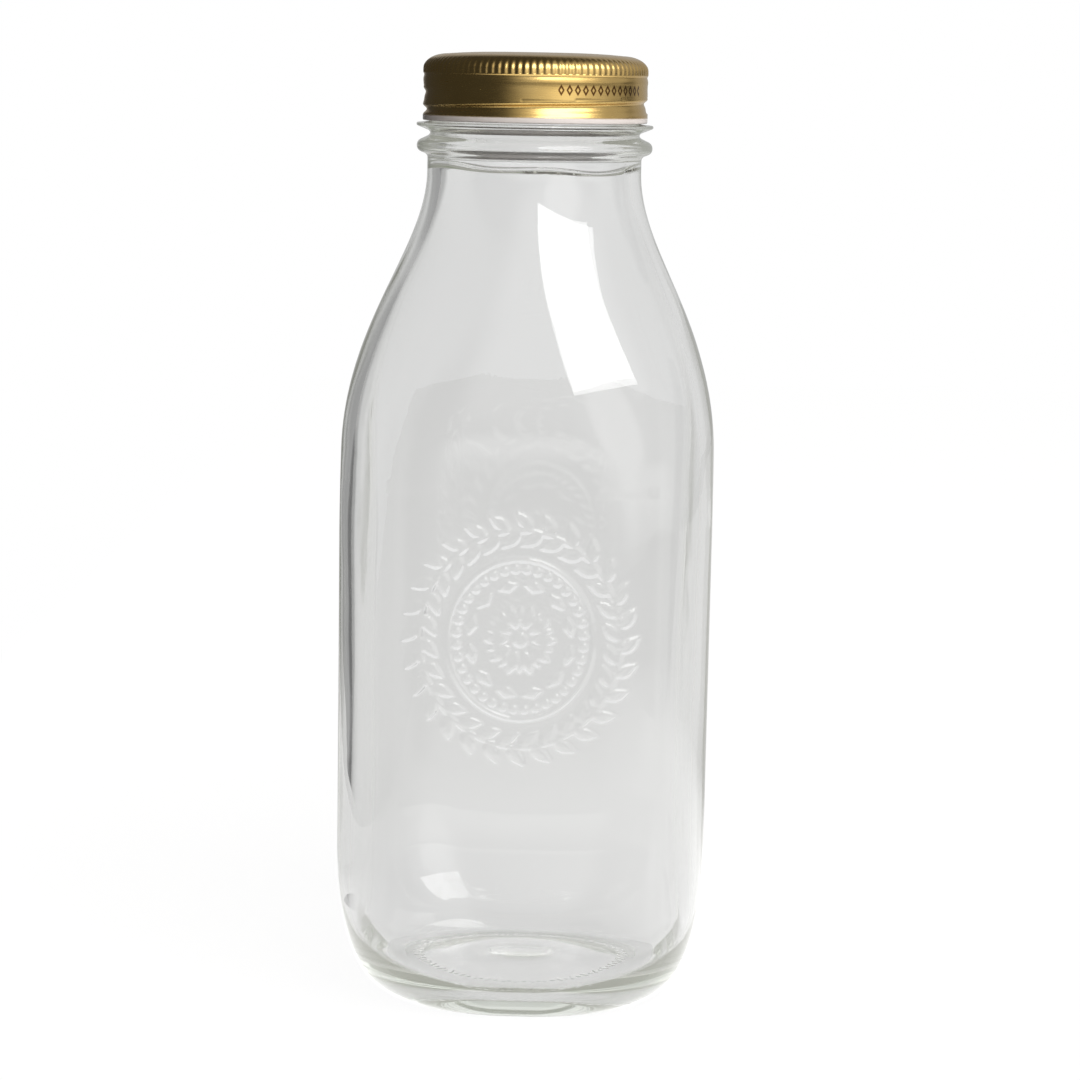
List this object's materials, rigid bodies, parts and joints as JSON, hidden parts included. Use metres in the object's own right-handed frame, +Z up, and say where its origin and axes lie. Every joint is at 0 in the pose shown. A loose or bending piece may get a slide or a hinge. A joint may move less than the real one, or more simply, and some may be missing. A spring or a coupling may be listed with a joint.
{
  "type": "glass bottle with screw cap",
  "caption": "Clear glass bottle with square sides, rounded corners and heel, an arched shoulder and a round neck, closed by a gold metal screw cap with a fluted band.",
  "frame": {"origin": "centre of the flat ring that the bottle stands on", "axes": "+Z up the bottle's axis, -Y out of its front side"},
  "size_m": [0.0928, 0.0928, 0.2386],
  "materials": {
    "clear_glass": "clear, polished",
    "gold_lacquer": "satin gold lacquer on tinplate",
    "sealing_compound": "matt"
  },
  "bodies": {
    "bottle": {"bottle_glass": "clear_glass"},
    "cap_seal": {"sealing_ring": "sealing_compound"},
    "cap": {"cap_shell": "gold_lacquer"}
  },
  "joints": [
    {"name": "cap_lift", "type": "slide", "parent": "bottle", "child": "cap_seal", "axis": [0, 0, 1], "range_m": [0, 0.018]},
    {"name": "cap_turn", "type": "hinge", "parent": "cap_seal", "child": "cap", "pos_m": [0, 0, 0.2215], "axis": [0, 0, 1], "range_deg": [0, 1530]}
  ],
  "couplings": [
    {"joint": "cap_lift", "follows": "cap_turn", "m_per_rad": 0.00067371}
  ]
}
